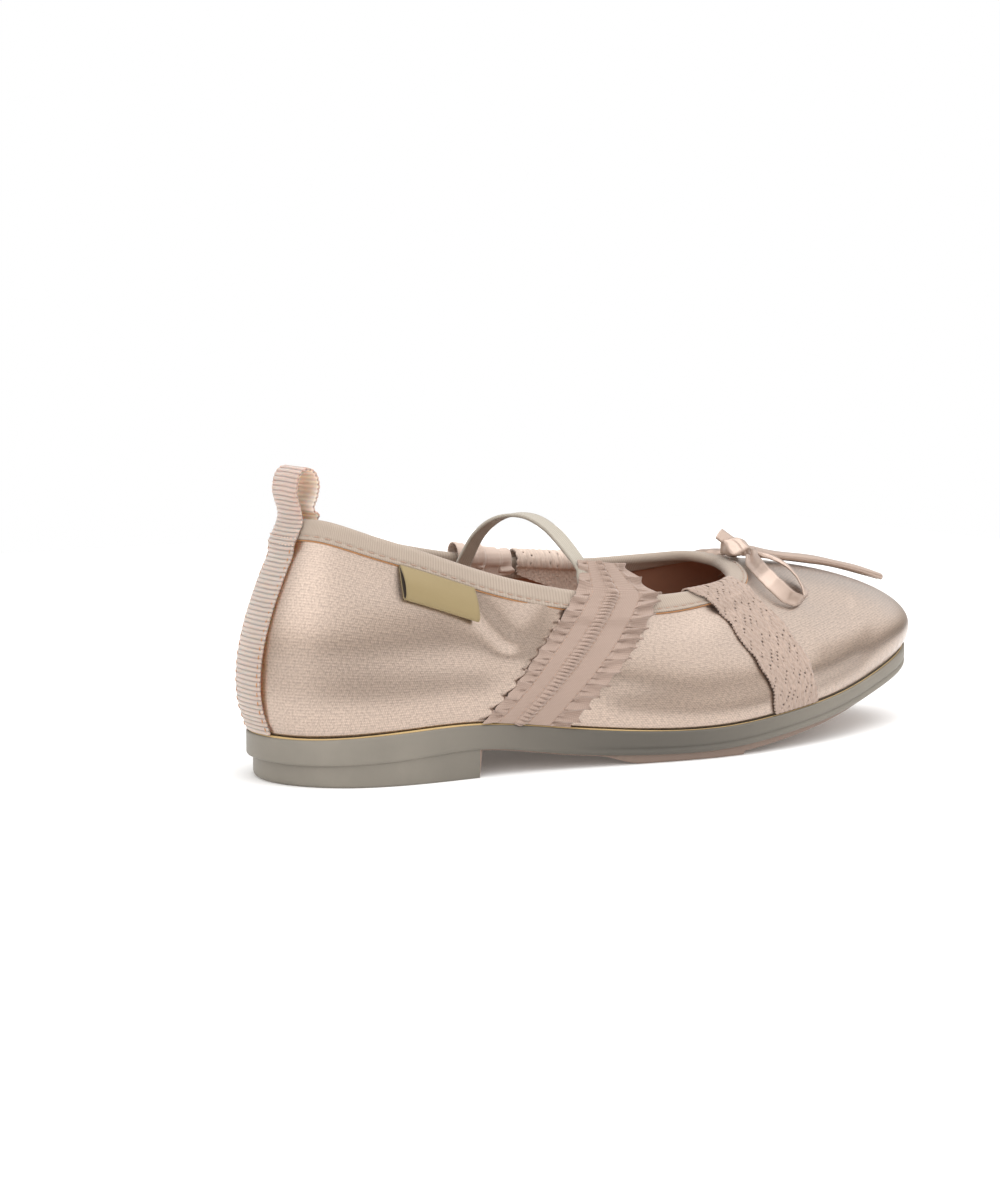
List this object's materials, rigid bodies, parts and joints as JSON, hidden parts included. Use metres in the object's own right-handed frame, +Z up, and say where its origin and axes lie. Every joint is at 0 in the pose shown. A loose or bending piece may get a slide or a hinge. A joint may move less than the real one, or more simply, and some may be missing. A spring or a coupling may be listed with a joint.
{
  "type": "ballet flat",
  "caption": "Right ballet flat with a low heel lift, bound collar, pull loop, ruffled and lace side bands, instep elastic and ribbon bow.",
  "frame": {"origin": "on the floor, under the middle of the heel lift's flat underside", "axes": "+X from heel to toe, +Y to the inner (medial) side of this right shoe, +Z up"},
  "size_m": [0.26, 0.0861, 0.0964],
  "materials": {
    "outsole": "matt moulded rubber",
    "insole": "soft lining",
    "upper": "satin",
    "collar_binding": "woven tape",
    "heel_ribbon": "ribbed ribbon",
    "ruffle": "gathered trim",
    "lace": "cotton lace",
    "instep_elastic": "woven elastic",
    "side_label": "woven label, blank",
    "bow": "satin"
  },
  "bodies": {
    "root": {"outsole": "outsole", "insole": "insole", "upper": "upper", "collar_binding": "collar_binding", "heel_ribbon": "heel_ribbon", "ruffle_lateral": "ruffle", "ruffle_medial": "ruffle", "lace_lateral": "lace", "lace_medial": "lace", "instep_elastic": "instep_elastic", "side_label": "side_label", "bow_knot": "bow", "bow_loop_lateral": "bow", "bow_loop_medial": "bow", "bow_tail_front": "bow", "bow_tail_back": "bow"}
  },
  "joints": []
}
